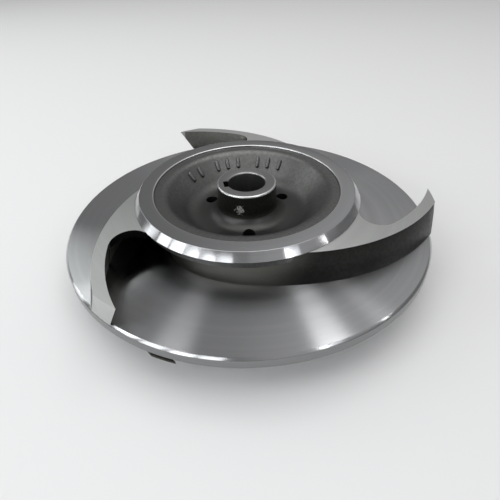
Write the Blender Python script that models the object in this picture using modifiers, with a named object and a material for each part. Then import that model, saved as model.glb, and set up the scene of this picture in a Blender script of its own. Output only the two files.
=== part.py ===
"""Pulp pump impeller with three vanes, 400 mm across, in metres with +Z up.

The impeller lies on its suction neck, drive side up. The origin is on the bore's axis, on the
plane of the neck's lower face. Seen from above the vanes sweep anticlockwise towards the rim,
so the pump turns clockwise.
"""
import math

import bmesh
import bpy
from mathutils import Matrix, Vector

# Numbers of facets
TURN_STEPS = 72
HUB_STEPS = 48
HOLE_STEPS = 24
ARC_STEP = math.radians(15.0)
VANE_ARC_STEP = math.radians(5.0)

# Gap between solids that touch, and how far a cutting shape runs past what it cuts
JOINT_GAP = 0.0003
OVERRUN = 0.005

# Heights, counted from the neck's lower face
FACE_Z = 0.052
RIM_THICKNESS = 0.0134
ARM_TOP_Z = FACE_Z + 0.032
ARM_TIP_Z = FACE_Z + 0.029
RING_TOP_Z = FACE_Z + 0.0403
RING_FOOT_Z = ARM_TOP_Z + 2 * JOINT_GAP
BOWL_LIP_Z = FACE_Z + 0.0385
BOWL_FLOOR_Z = FACE_Z + 0.009
HUB_TOP_Z = FACE_Z + 0.0445
WEB_UNDER_Z = ARM_TOP_Z - 0.009
HUB_NOSE_Z = 0.020

# The front shroud's flat disc
OUTER_RADIUS = 0.200
RIM_CHAMFER = 0.0012

# The suction neck, which bends out into the disc
EYE_RADIUS = 0.082
BEND_RADIUS = 0.132
BEND_FOOT_Z = 0.012
UNDERSIDE_BEND_RADIUS = 0.118
NECK_SHOULDER_RADIUS = 0.0925
NECK_SHOULDER_Z = 0.0175
NECK_LAND_RADIUS = 0.0905
NECK_CHAMFER = 0.001

# Wear rings
FRONT_RING_RADIUS = 0.0985
FRONT_RING_FOOT_Z = 0.0015
BACK_RING_BORE_RADIUS = 0.1005
BACK_RING_FACE_RADIUS = 0.1161
BACK_RING_FOOT_RADIUS = 0.1223
RING_EDGE = 0.0006

# Back shroud and hub
PLATE_RADIUS = 0.118
BOWL_LIP_RADIUS = 0.089
BOWL_LIP_ROUNDING = 0.0015
BOWL_WALL_FOOT_RADIUS = 0.0624
BOWL_WALL_FILLET = 0.016
HUB_RADIUS = 0.0323
HUB_FILLET = 0.009
HUB_CHAMFER = 0.0012
NOSE_CHAMFER = 0.004
BORE_RADIUS = 0.0202
KEYWAY_WIDTH = 0.012
KEYWAY_DEPTH = 0.005
KEYWAY_ANGLE = math.radians(190.0)

# Radius, height and rounding of the corners on the back shroud's underside
NOSE_COLLAR_Z = 0.026
UNDERSIDE_CORNERS = ((0.088, WEB_UNDER_Z, 0.014), (0.066, 0.050, 0.014), (0.048, 0.043, 0.012),
                     (0.0385, NOSE_COLLAR_Z, 0.0))

# Balance holes through the bowl's floor
HOLE_RADIUS = 0.0065
HOLE_CIRCLE_RADIUS = 0.0475
FIRST_HOLE_ANGLE = math.radians(31.0)

# Vanes: two tangent arcs, leaning inward towards the top. They don't stand at quite equal steps.
VANE_COUNT = 3
VANE_SHIFTS = (math.radians(-0.5), math.radians(-2.5), math.radians(-2.5))
VANE_THICKNESS = 0.012
OUTER_ARC_RADIUS = 0.1925
OUTER_ARC_OFFSET = 0.087
OUTER_ARC_BEARING = math.radians(60.0)
OUTER_ARC_END = math.radians(340.0)
ARC_JOIN = math.radians(244.4)
INNER_ARC_RADIUS = 0.080
INNER_ARC_END = math.radians(100.0)
LEAN_PER_METRE = 0.0078 / 0.032
LEADING_EDGE_HEAD_RADIUS = 0.060
LEADING_EDGE_FOOT_ANGLE = math.radians(168.0)

# The arms' webs end in a rounded pocket beside each vane
POCKET_RADIUS = 0.019
POCKET_ANGLE = math.radians(-54.7)
POCKET_START_ANGLE = math.radians(-188.0)
WEB_OVERLAP = 0.003
WEB_RING_END = math.radians(-23.5)
WEB_RING_START = math.radians(-62.0)

# Ribs under the front shroud
RIB_HEIGHT = 0.0078
RIB_THICKNESS = 0.010
RIB_TURN = math.radians(-102.5)
RIB_INNER_RADIUS = 0.125

CAST_STEEL = ("cast steel", (0.20, 0.20, 0.19, 1.0), 0.55, 0.85)
TURNED_STEEL = ("turned steel", (0.42, 0.43, 0.44, 1.0), 0.30, 1.0)
RING_STEEL = ("ring steel", (0.55, 0.56, 0.58, 1.0), 0.22, 1.0)


def clear_scene():
    for thing in list(bpy.data.objects):
        bpy.data.objects.remove(thing, do_unlink=True)


def make_collection(name):
    collection = bpy.data.collections.new(name)
    bpy.context.scene.collection.children.link(collection)
    return collection


def make_material(finish):
    name, colour, roughness, metallic = finish
    material = bpy.data.materials.new(name)
    material.use_nodes = True
    shader = material.node_tree.nodes["Principled BSDF"]
    shader.inputs["Base Color"].default_value = colour
    shader.inputs["Roughness"].default_value = roughness
    shader.inputs["Metallic"].default_value = metallic
    return material


def add_object(name, mesh, collection, material=None):
    thing = bpy.data.objects.new(name, mesh)
    collection.objects.link(thing)
    if material is not None:
        mesh.materials.append(material)
    return thing


def hide_cutter(thing):
    thing.hide_render = True
    thing.display_type = "WIRE"


def arc_points(centre, radius, start, end, step=ARC_STEP):
    """Points along an arc, both ends included."""
    count = max(1, math.ceil(abs(end - start) / step))
    angles = [start + (end - start) * i / count for i in range(count + 1)]
    return [(centre[0] + radius * math.cos(a), centre[1] + radius * math.sin(a)) for a in angles]


def quarter_ellipse(centre, half_width, half_height, start, end, count):
    """Points along part of an ellipse, both ends included."""
    angles = [start + (end - start) * i / count for i in range(count + 1)]
    return [(centre[0] + half_width * math.cos(a), centre[1] + half_height * math.sin(a))
            for a in angles]


def fillet(before, corner, after, radius):
    """The arc that rounds a corner between two straight lines."""
    corner = Vector(corner)
    to_before = (Vector(before) - corner).normalized()
    to_after = (Vector(after) - corner).normalized()
    half = to_before.angle(to_after) / 2
    middle = (to_before + to_after).normalized()
    centre = corner + middle * (radius / math.sin(half))
    reach = radius / math.tan(half)
    first = corner + to_before * reach - centre
    last = corner + to_after * reach - centre
    start = math.atan2(first.y, first.x)
    turn = math.atan2(last.y, last.x) - start
    turn = (turn + math.pi) % (2 * math.pi) - math.pi
    return arc_points(centre, radius, start, start + turn)


def rounded(corners):
    """A chain of (x, z, radius) corners with each rounded by its radius."""
    points = [corners[0][:2]]
    for before, corner, after in zip(corners, corners[1:], corners[2:]):
        if corner[2] > 0:
            points += fillet(before[:2], corner[:2], after[:2], corner[2])
        else:
            points.append(corner[:2])
    points.append(corners[-1][:2])
    return points


def turned(name, profile, collection, material=None, steps=TURN_STEPS):
    """Turn a closed profile, which runs outward on top and down outside, about the Z axis."""
    mesh = bpy.data.meshes.new(name)
    count = len(profile)
    edges = [(i, (i + 1) % count) for i in range(count)]
    mesh.from_pydata([(x, 0.0, z) for x, z in profile], edges, [])
    thing = add_object(name, mesh, collection, material)
    screw = thing.modifiers.new("Turn", "SCREW")
    screw.steps = steps
    screw.render_steps = steps
    screw.use_merge_vertices = True
    screw.merge_threshold = 0.00001
    return thing


def loft(name, lower, upper, lower_z, upper_z, collection):
    """A closed solid between two outlines that have the same number of points."""
    shape = bmesh.new()
    low = [shape.verts.new((x, y, lower_z)) for x, y in lower]
    high = [shape.verts.new((x, y, upper_z)) for x, y in upper]
    shape.faces.new(low)
    shape.faces.new(high)
    for i in range(len(low)):
        j = (i + 1) % len(low)
        shape.faces.new((low[i], low[j], high[j], high[i]))
    bmesh.ops.recalc_face_normals(shape, faces=shape.faces)
    mesh = bpy.data.meshes.new(name)
    shape.to_mesh(mesh)
    shape.free()
    return add_object(name, mesh, collection)


def boolean(thing, cutter, operation):
    modifier = thing.modifiers.new(operation.title(), "BOOLEAN")
    modifier.operation = operation
    modifier.object = cutter
    modifier.solver = "EXACT"


def polar(centre, radius, angle):
    return (centre[0] + radius * math.cos(angle), centre[1] + radius * math.sin(angle))


def outer_arc_centre():
    return polar((0.0, 0.0), OUTER_ARC_OFFSET, OUTER_ARC_BEARING)


def inner_arc_centre():
    return polar(outer_arc_centre(), OUTER_ARC_RADIUS - INNER_ARC_RADIUS, ARC_JOIN)


def wall_edge(inset):
    """One edge of a vane in plan, from past the tip to past the leading edge."""
    outer = arc_points(outer_arc_centre(), OUTER_ARC_RADIUS - inset, OUTER_ARC_END, ARC_JOIN,
                       VANE_ARC_STEP)
    inner = arc_points(inner_arc_centre(), INNER_ARC_RADIUS - inset, ARC_JOIN, INNER_ARC_END,
                       2 * VANE_ARC_STEP)
    return outer + inner[1:]


def wall_outline(height, thickness=VANE_THICKNESS):
    """A vane's outline at a height over the front shroud's face."""
    lean = LEAN_PER_METRE * height
    return wall_edge(lean) + wall_edge(lean + thickness)[::-1]


def web_outline():
    """The plate that fills the corner between an arm and the back shroud, in plan."""
    inset = LEAN_PER_METRE * (ARM_TOP_Z - FACE_Z) + VANE_THICKNESS
    centre = outer_arc_centre()
    pocket_centre = polar(centre, OUTER_ARC_RADIUS - inset - POCKET_RADIUS, POCKET_ANGLE)
    inner_edge = PLATE_RADIUS - WEB_OVERLAP
    along_wall = [point for point in wall_edge(inset - VANE_THICKNESS / 3)
                  if math.hypot(*point) > inner_edge
                  and math.atan2(point[1] - centre[1], point[0] - centre[0]) < POCKET_ANGLE]
    pocket = arc_points(pocket_centre, POCKET_RADIUS, POCKET_START_ANGLE, POCKET_ANGLE)
    ring_side = arc_points((0.0, 0.0), inner_edge, WEB_RING_START, WEB_RING_END, VANE_ARC_STEP)
    return ring_side + pocket + along_wall


def waterway_profile():
    """The space between the shrouds that holds the vanes, as a closed profile."""
    gap = JOINT_GAP
    floor = quarter_ellipse((BEND_RADIUS, BEND_FOOT_Z), BEND_RADIUS - EYE_RADIUS + gap,
                            FACE_Z - BEND_FOOT_Z + gap, LEADING_EDGE_FOOT_ANGLE, math.pi / 2, 8)
    under = [(x + gap / 2, z - gap) for x, z in plate_underside()[1:]
             if x > LEADING_EDGE_HEAD_RADIUS]
    profile = under[::-1]
    profile += [(PLATE_RADIUS + gap, WEB_UNDER_Z - gap), (PLATE_RADIUS + gap, ARM_TOP_Z)]
    profile += [(OUTER_RADIUS, ARM_TIP_Z), (OUTER_RADIUS, FACE_Z + gap)]
    return profile + floor[::-1]


def plate_underside():
    """The back shroud's lower side, from its rim in to the hub's nose."""
    return rounded([(PLATE_RADIUS, WEB_UNDER_Z, 0.0), *UNDERSIDE_CORNERS,
                    (HUB_RADIUS + JOINT_GAP, NOSE_COLLAR_Z, 0.0)])


def build_front_shroud(collection, steel):
    inner = BEND_RADIUS + JOINT_GAP
    under_z = FACE_Z - RIM_THICKNESS
    profile = [(inner, FACE_Z), (OUTER_RADIUS - RIM_CHAMFER, FACE_Z),
               (OUTER_RADIUS, FACE_Z - RIM_CHAMFER), (OUTER_RADIUS, under_z + RIM_CHAMFER),
               (OUTER_RADIUS - RIM_CHAMFER, under_z), (inner, under_z)]
    return turned("front_shroud", profile, collection, steel)


def build_suction_neck(collection, cast):
    bend = quarter_ellipse((BEND_RADIUS, BEND_FOOT_Z), BEND_RADIUS - EYE_RADIUS,
                           FACE_Z - BEND_FOOT_Z, math.pi, math.pi / 2, 7)
    under_z = FACE_Z - RIM_THICKNESS
    underside = quarter_ellipse((UNDERSIDE_BEND_RADIUS, NECK_SHOULDER_Z),
                                UNDERSIDE_BEND_RADIUS - NECK_SHOULDER_RADIUS,
                                under_z - NECK_SHOULDER_Z, math.pi / 2, math.pi, 4)
    profile = bend + [(BEND_RADIUS, under_z)] + underside
    profile += [(NECK_LAND_RADIUS, NECK_SHOULDER_Z), (NECK_LAND_RADIUS, NECK_CHAMFER),
                (NECK_LAND_RADIUS - NECK_CHAMFER, 0.0), (EYE_RADIUS + NECK_CHAMFER, 0.0),
                (EYE_RADIUS, NECK_CHAMFER)]
    return turned("suction_neck", profile, collection, cast)


def build_front_wear_ring(collection, steel):
    bore = NECK_LAND_RADIUS + JOINT_GAP
    top = NECK_SHOULDER_Z - JOINT_GAP
    profile = [(bore, top), (FRONT_RING_RADIUS - RING_EDGE, top),
               (FRONT_RING_RADIUS, top - RING_EDGE),
               (FRONT_RING_RADIUS, FRONT_RING_FOOT_Z + RING_EDGE),
               (FRONT_RING_RADIUS - RING_EDGE, FRONT_RING_FOOT_Z), (bore, FRONT_RING_FOOT_Z)]
    return turned("front_wear_ring", profile, collection, steel)


def build_back_wear_ring(collection, steel):
    profile = [(BACK_RING_BORE_RADIUS, RING_TOP_Z - RING_EDGE),
               (BACK_RING_BORE_RADIUS + RING_EDGE, RING_TOP_Z),
               (BACK_RING_FACE_RADIUS, RING_TOP_Z), (BACK_RING_FOOT_RADIUS, RING_FOOT_Z),
               (BACK_RING_BORE_RADIUS, RING_FOOT_Z)]
    return turned("back_wear_ring", profile, collection, steel)


def build_back_shroud(collection, cutters, cast):
    inner = HUB_RADIUS + JOINT_GAP
    spigot = BACK_RING_BORE_RADIUS - JOINT_GAP
    collar = arc_points((inner + HUB_FILLET, BOWL_FLOOR_Z + HUB_FILLET), HUB_FILLET,
                        math.pi, 1.5 * math.pi, math.radians(22.5))
    wall = rounded([(inner + HUB_FILLET, BOWL_FLOOR_Z, 0.0),
                    (BOWL_WALL_FOOT_RADIUS, BOWL_FLOOR_Z, BOWL_WALL_FILLET),
                    (BOWL_LIP_RADIUS, BOWL_LIP_Z, BOWL_LIP_ROUNDING), (spigot, BOWL_LIP_Z, 0.0)])
    seat_z = RING_FOOT_Z - JOINT_GAP
    profile = collar + wall[1:] + [(spigot, seat_z), (PLATE_RADIUS, seat_z)] + plate_underside()
    shroud = turned("back_shroud", profile, collection, cast)
    for i in range(VANE_COUNT):
        angle = FIRST_HOLE_ANGLE + 2 * math.pi * i / VANE_COUNT
        x, y = polar((0.0, 0.0), HOLE_CIRCLE_RADIUS, angle)
        bpy.ops.mesh.primitive_cylinder_add(vertices=HOLE_STEPS, radius=HOLE_RADIUS, depth=FACE_Z,
                                            location=(x, y, BOWL_FLOOR_Z), rotation=(0, 0, angle))
        cutter = bpy.context.object
        cutter.name = f"balance_hole_cutter_{i + 1}"
        move_to(cutter, cutters)
        hide_cutter(cutter)
        boolean(shroud, cutter, "DIFFERENCE")
    return shroud


def move_to(thing, collection):
    for owner in list(thing.users_collection):
        owner.objects.unlink(thing)
    collection.objects.link(thing)


def build_hub(collection, cutters, cast):
    profile = [(BORE_RADIUS, HUB_TOP_Z - HUB_CHAMFER), (BORE_RADIUS + HUB_CHAMFER, HUB_TOP_Z),
               (HUB_RADIUS - HUB_CHAMFER, HUB_TOP_Z), (HUB_RADIUS, HUB_TOP_Z - HUB_CHAMFER),
               (HUB_RADIUS, HUB_NOSE_Z + NOSE_CHAMFER), (HUB_RADIUS - NOSE_CHAMFER, HUB_NOSE_Z),
               (BORE_RADIUS + HUB_CHAMFER, HUB_NOSE_Z), (BORE_RADIUS, HUB_NOSE_Z + HUB_CHAMFER)]
    hub = turned("hub", profile, collection, cast, HUB_STEPS)
    length = BORE_RADIUS + KEYWAY_DEPTH
    x, y = polar((0.0, 0.0), length / 2, KEYWAY_ANGLE)
    bpy.ops.mesh.primitive_cube_add(size=1.0, location=(x, y, HUB_TOP_Z / 2),
                                    rotation=(0.0, 0.0, KEYWAY_ANGLE))
    cutter = bpy.context.object
    cutter.scale = (length, KEYWAY_WIDTH, HUB_TOP_Z * 1.5)
    bpy.ops.object.transform_apply(location=False, rotation=False, scale=True)
    cutter.name = "keyway_cutter"
    move_to(cutter, cutters)
    hide_cutter(cutter)
    boolean(hub, cutter, "DIFFERENCE")
    return hub


def build_vanes(collection, cutters, cast):
    """Each vane is a leaning wall with its web, trimmed to the space between the shrouds."""
    waterway = turned("waterway_guide", waterway_profile(), cutters)
    hide_cutter(waterway)
    low_z = BEND_FOOT_Z - OVERRUN
    high_z = ARM_TOP_Z + OVERRUN
    for i in range(VANE_COUNT):
        turn = Matrix.Rotation(2 * math.pi * i / VANE_COUNT + VANE_SHIFTS[i], 4, "Z")
        name = f"vane_{i + 1}"
        vane = loft(name, wall_outline(low_z - FACE_Z), wall_outline(high_z - FACE_Z),
                    low_z, high_z, collection)
        vane.data.materials.append(cast)
        web = loft(f"web_{i + 1}", web_outline(), web_outline(), WEB_UNDER_Z,
                   high_z - OVERRUN / 2, cutters)
        hide_cutter(web)
        vane.data.transform(turn)
        web.data.transform(turn)
        boolean(vane, web, "UNION")
        boolean(vane, waterway, "INTERSECT")


def build_ribs(collection, cutters, cast):
    """Low ribs under the front shroud, swept like the vanes."""
    under_z = FACE_Z - RIM_THICKNESS
    top_z = under_z - JOINT_GAP
    foot_z = under_z - RIB_HEIGHT
    limit = turned("rib_guide", [(RIB_INNER_RADIUS, top_z), (OUTER_RADIUS, top_z),
                                 (OUTER_RADIUS, foot_z), (RIB_INNER_RADIUS, foot_z)], cutters)
    hide_cutter(limit)
    outline = wall_outline(0.0, RIB_THICKNESS)
    for i in range(VANE_COUNT):
        rib = loft(f"rib_{i + 1}", outline, outline, foot_z - OVERRUN, under_z + OVERRUN, collection)
        rib.data.materials.append(cast)
        rib.data.transform(Matrix.Rotation(RIB_TURN + 2 * math.pi * i / VANE_COUNT, 4, "Z"))
        boolean(rib, limit, "INTERSECT")


def smooth(collection):
    for thing in collection.objects:
        thing.data.shade_smooth()
        thing.data.set_sharp_from_angle(angle=math.radians(30.0))


def main():
    clear_scene()
    parts = make_collection("pulp_pump_impeller")
    cutters = make_collection("cutters")
    cast = make_material(CAST_STEEL)
    machined = make_material(TURNED_STEEL)
    ring = make_material(RING_STEEL)
    build_front_shroud(parts, machined)
    build_suction_neck(parts, cast)
    build_front_wear_ring(parts, ring)
    build_vanes(parts, cutters, cast)
    build_back_shroud(parts, cutters, cast)
    build_hub(parts, cutters, cast)
    build_back_wear_ring(parts, ring)
    build_ribs(parts, cutters, cast)
    smooth(parts)


main()
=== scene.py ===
# %% [markdown]
# # A pulp pump impeller
# This lesson dresses the plain solids of an open pump impeller, 400 mm across. It is one steel
# casting that a lathe has partly cut. The wide disc, the ring, the tops of the arms and the hub's
# end are turned bright, while the bowl, the walls and the neck keep the dark skin of the mould.
# The solids come in as a fixed frame. Each visible piece is built again at the same size, with
# finer curves, small edge roundings and a finish made of shader nodes.

import math

import bmesh
import bpy
from mathutils import Matrix, Vector


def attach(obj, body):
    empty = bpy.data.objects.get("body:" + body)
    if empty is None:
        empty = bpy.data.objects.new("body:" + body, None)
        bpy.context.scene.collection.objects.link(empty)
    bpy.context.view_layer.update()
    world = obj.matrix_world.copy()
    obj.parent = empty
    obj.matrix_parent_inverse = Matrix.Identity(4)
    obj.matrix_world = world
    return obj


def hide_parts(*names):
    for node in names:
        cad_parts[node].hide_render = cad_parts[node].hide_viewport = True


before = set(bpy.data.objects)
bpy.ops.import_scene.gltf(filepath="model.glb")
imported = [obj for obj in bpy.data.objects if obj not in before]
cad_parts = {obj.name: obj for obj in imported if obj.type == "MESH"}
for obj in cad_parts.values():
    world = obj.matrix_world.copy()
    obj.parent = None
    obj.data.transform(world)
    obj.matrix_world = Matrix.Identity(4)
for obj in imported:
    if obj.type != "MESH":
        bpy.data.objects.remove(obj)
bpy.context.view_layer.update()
print("solids in the frame:", len(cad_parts))

# %% [markdown]
# ## Sizes
# Every size is in metres and has a name. Heights count from the floor that the impeller lies
# on, and most are measured from the disc's face, as on a drawing. These are the sizes that
# several pieces share. A size that only one piece needs is given beside that piece.

# %% Shared heights and radii
FACE_Z = 0.052
UNDER_Z = FACE_Z - 0.0134
ARM_TOP_Z = FACE_Z + 0.032
ARM_TIP_Z = FACE_Z + 0.029
WEB_UNDER_Z = ARM_TOP_Z - 0.009
BEND_FOOT_Z = 0.012

OUTER_RADIUS = 0.200
BEND_RADIUS = 0.132
PLATE_RADIUS = 0.118
EYE_RADIUS = 0.082
HUB_RADIUS = 0.0323
BORE_RADIUS = 0.0202
ARM_COUNT = 3
print("rim to bore:", round(OUTER_RADIUS / BORE_RADIUS, 2), "to 1")

# %% [markdown]
# ## Camera
# The camera stands where the photograph was taken, in front of the impeller and fairly close, so
# the front of the rim looks much wider than the back. Its place, tilt and lens were fitted by
# matching the round edges, whose real shape is known: each is a circle at a known height.

# %% Camera
CAMERA_PLACE = (0.00121, -0.40124, 0.32226)
CAMERA_TILT = math.radians(51.34)
CAMERA_ROLL = math.radians(-1.91)
LENS_MM = 30.146
SENSOR_WIDTH_MM = 36.0
camera_data = bpy.data.cameras.new("camera")
camera_data.lens = LENS_MM
camera_data.sensor_width = SENSOR_WIDTH_MM
camera = bpy.data.objects.new("camera", camera_data)
camera.matrix_world = (Matrix.Translation(CAMERA_PLACE) @ Matrix.Rotation(CAMERA_TILT, 4, "X")
                       @ Matrix.Rotation(CAMERA_ROLL, 4, "Z"))
bpy.context.scene.collection.objects.link(camera)
bpy.context.scene.camera = camera
print("camera looks down by", round(90 - math.degrees(CAMERA_TILT), 1), "degrees")

# %% [markdown]
# ## The room
# Turned steel shows its surroundings more than its own colour, so the room matters as much as
# the finishes. The world is a plain grey shell. It is brighter high up on the right, as in a
# workshop lit from that side, and the camera itself sees it as a pale wall. An image of a room
# could light the scene too, but a few nodes are enough, and each part of them can be explained.


# %% Helpers for nodes
def add_node(tree, kind, settings=None, **values):
    """A node with its properties set. Sockets go by name, or by number as i0, i1 and so on."""
    node = tree.nodes.new(kind)
    for name, value in (settings or {}).items():
        setattr(node, name, value)
    for name, value in values.items():
        socket = node.inputs[int(name[1:]) if name[1:].isdigit() else name.replace("_", " ")]
        if isinstance(value, bpy.types.NodeSocket):
            tree.links.new(value, socket)
        else:
            socket.default_value = value
    return node


def maths(tree, operation, first, second=0.0):
    return add_node(tree, "ShaderNodeMath", {"operation": operation}, i0=first, i1=second).outputs[0]


def ramp(tree, value, low, high, out_low=0.0, out_high=1.0):
    """Maps a value smoothly from one range to another."""
    node = add_node(tree, "ShaderNodeMapRange", {"interpolation_type": "SMOOTHSTEP"},
                    Value=value, From_Min=low, From_Max=high, To_Min=out_low, To_Max=out_high)
    return node.outputs["Result"]


print("node helpers ready")

# %% World
SHELL_DARK = 0.23
SHELL_BRIGHT = 0.50
WALL_BRIGHTNESS = 0.82
BRIGHTENS_UPWARDS = (0.2, 0.6)
BRIGHTENS_TO_THE_RIGHT = (-0.45, 0.4)
bpy.context.scene.view_settings.view_transform = "Standard"
world = bpy.data.worlds.new("studio")
bpy.context.scene.world = world
world.use_nodes = True
shell = world.node_tree
shell.nodes.clear()
towards = add_node(shell, "ShaderNodeTexCoord").outputs["Generated"]
towards = add_node(shell, "ShaderNodeSeparateXYZ", Vector=towards).outputs
high_up = ramp(shell, towards["Z"], *BRIGHTENS_UPWARDS)
to_the_right = ramp(shell, towards["X"], *BRIGHTENS_TO_THE_RIGHT)
strength = ramp(shell, maths(shell, "MULTIPLY", high_up, to_the_right), 0.0, 1.0,
                SHELL_DARK, SHELL_BRIGHT)
seen_directly = add_node(shell, "ShaderNodeLightPath").outputs["Is Camera Ray"]
strength = ramp(shell, seen_directly, 0.0, 1.0, strength, WALL_BRIGHTNESS)
background = add_node(shell, "ShaderNodeBackground", Color=(1.0, 1.0, 1.0, 1.0), Strength=strength)
add_node(shell, "ShaderNodeOutputWorld", Surface=background.outputs[0])
print("world built:", world.name)

# %% [markdown]
# ### The floor
# The floor is one pale, almost matt square. It lies a hair under the neck, so that the two
# surfaces never share a plane and flicker.

# %% Floor
FLOOR_HALF = 4.0
FLOOR_GAP = 0.0002
FLOOR_PAINT = {"Base Color": (0.86, 0.86, 0.86, 1.0), "Roughness": 0.9, "Specular IOR Level": 0.1}
floor_mesh = bpy.data.meshes.new("studio_floor")
floor_mesh.from_pydata([(x * FLOOR_HALF, y * FLOOR_HALF, -FLOOR_GAP)
                        for x, y in ((-1, -1), (1, -1), (1, 1), (-1, 1))], [], [(0, 1, 2, 3)])
studio_floor = bpy.data.objects.new("studio_floor", floor_mesh)
bpy.context.scene.collection.objects.link(studio_floor)
floor_paint = bpy.data.materials.new("floor_paint")
floor_paint.use_nodes = True
for label, value in FLOOR_PAINT.items():
    floor_paint.node_tree.nodes["Principled BSDF"].inputs[label].default_value = value
floor_mesh.materials.append(floor_paint)
print("floor laid:", 2 * FLOOR_HALF, "m wide")

# %% [markdown]
# ### The lights
# A large softbox overhead gives the even light. The rest is there to be mirrored. A row of
# window panes, from the left round to behind the camera, draws the bars on the ring's chamfer,
# and narrow strips at the right add its short glints. Four bright ceiling strips draw the light
# spokes on the disc: tool marks run in circles and spread a light only across themselves, so a
# small lamp becomes a spoke that points at the bore. Point lamps would do, but a strip gives the
# spoke a softer edge.


# %% Helper for lights
def light_panel(name, azimuth, elevation, distance, size, radiance, tint=(1.0, 1.0, 1.0)):
    """A soft panel of (width, height) that hangs in a given direction and faces the impeller."""
    width, height = size
    data = bpy.data.lights.new(name, "AREA")
    data.shape = "RECTANGLE"
    data.size = width
    data.size_y = height
    data.energy = radiance * math.pi * width * height
    data.color = tint
    lamp = bpy.data.objects.new(name, data)
    bearing, rise = math.radians(azimuth), math.radians(elevation)
    direction = Vector((math.cos(bearing) * math.cos(rise), math.sin(bearing) * math.cos(rise),
                        math.sin(rise)))
    lamp.location = direction * distance
    lamp.rotation_euler = direction.to_track_quat("Z", "Y").to_euler()
    bpy.context.scene.collection.objects.link(lamp)
    return lamp


print("light helper ready")

# %% Hang the softbox, the windows and the side strips
DAYLIGHT = (0.96, 0.98, 1.0)
LAMPLIGHT = (0.93, 0.95, 1.0)
PALE_GREEN = (0.96, 1.0, 0.98)
PANE_DISTANCE = 2.4
PANE_SIZE = (0.46, 0.80)
PANES = ((169.0, 12.0, 2.0), (-174.0, 22.0, 2.6), (-158.0, 27.0, 3.6),
         (-142.0, 27.0, 2.6), (-126.0, 27.0, 3.4), (-111.0, 30.0, 2.4))
softbox = light_panel("overhead_softbox", 90.0, 88.0, 2.6, (2.8, 2.8), 1.35)
for i, (azimuth, elevation, radiance) in enumerate(PANES):
    light_panel(f"window_pane_{i + 1}", azimuth, elevation, PANE_DISTANCE, PANE_SIZE, radiance,
                DAYLIGHT)
light_panel("window_transom", -152.0, 46.0, PANE_DISTANCE, (1.0, 0.36), 3.2, DAYLIGHT)
light_panel("strip_right", -51.0, 34.0, 2.4, (0.06, 0.34), 26.0, LAMPLIGHT)
light_panel("glow_right", -47.0, 33.0, 2.5, (0.45, 0.40), 1.2, LAMPLIGHT)
light_panel("strip_far_right", -16.0, 25.0, 2.4, (0.05, 0.30), 12.0)
light_panel("left_back_panel", 146.0, 34.0, 2.4, (1.3, 1.2), 1.1, PALE_GREEN)
print("windows and side strips hung:", len(PANES) + 5)

# %% Hang the ceiling strips that draw the spokes
STRIP_DISTANCE = 2.2
STRIP_LENGTH = 0.40
CEILING_STRIPS = (("right", 0.0, 67.0, 0.10, 62.0), ("left", 180.0, 67.0, 0.04, 62.0),
                  ("far_right", 0.0, 45.0, 0.04, 60.0), ("far_left", 159.0, 33.0, 0.05, 50.0))
ceiling_strips = [light_panel(f"ceiling_strip_{side}", azimuth, elevation, STRIP_DISTANCE,
                              (width, STRIP_LENGTH), radiance)
                  for side, azimuth, elevation, width, radiance in CEILING_STRIPS]
print("ceiling strips hung:", len(ceiling_strips))

# %% [markdown]
# ## Shapes that a lathe makes
# Nearly everything here is round about the bore, so most pieces are a profile turned about the
# Z axis. A Screw modifier would do it. Spinning the points in code gives the same rings of
# faces and needs no modifier to apply. Each corner of a profile gets a small rounding, since a
# real edge always catches a thin line of light.

# %% Helpers for curves in a plane
CURVE_STEP = math.radians(6.0)
EDGE_STEP = math.radians(22.5)
SMALL_ROUNDING = 0.001


def arc_points(centre, radius, start, end, step=CURVE_STEP):
    count = max(1, math.ceil(abs(end - start) / step))
    return ellipse_points(centre, radius, radius, start, end, count)


def ellipse_points(centre, half_width, half_height, start, end, count):
    angles = [start + (end - start) * i / count for i in range(count + 1)]
    return [(centre[0] + half_width * math.cos(a), centre[1] + half_height * math.sin(a))
            for a in angles]


def corner_points(before, corner, after, radius):
    """The arc that rounds one corner of a profile."""
    corner = Vector(corner)
    to_before = (Vector(before) - corner).normalized()
    to_after = (Vector(after) - corner).normalized()
    half = to_before.angle(to_after) / 2
    centre = corner + (to_before + to_after).normalized() * (radius / math.sin(half))
    reach = radius / math.tan(half)
    first = corner + to_before * reach - centre
    last = corner + to_after * reach - centre
    start = math.atan2(first.y, first.x)
    turn = (math.atan2(last.y, last.x) - start + math.pi) % (2 * math.pi) - math.pi
    return arc_points(centre, radius, start, start + turn,
                      EDGE_STEP if radius < SMALL_ROUNDING else CURVE_STEP)


def rounded(corners):
    """A closed chain of corners. One given as (radius, height, rounding) is rounded."""
    points = []
    for i, corner in enumerate(corners):
        if len(corner) == 3:
            points += corner_points(corners[i - 1][:2], corner[:2],
                                    corners[(i + 1) % len(corners)][:2], corner[2])
        else:
            points.append(corner)
    return points


print("points in a quarter round:", len(arc_points((0.0, 0.0), 1.0, 0.0, math.pi / 2)))

# %% Helpers for closed pieces
TURN_STEPS = 288


def closed_piece(name, points, faces):
    """A new piece from points and faces, with every face turned to look outwards."""
    mesh = bpy.data.meshes.new(name)
    mesh.from_pydata(points, [], faces)
    shape = bmesh.new()
    shape.from_mesh(mesh)
    bmesh.ops.recalc_face_normals(shape, faces=shape.faces)
    shape.to_mesh(mesh)
    shape.free()
    piece = bpy.data.objects.new(name, mesh)
    bpy.context.scene.collection.objects.link(piece)
    return piece


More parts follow.
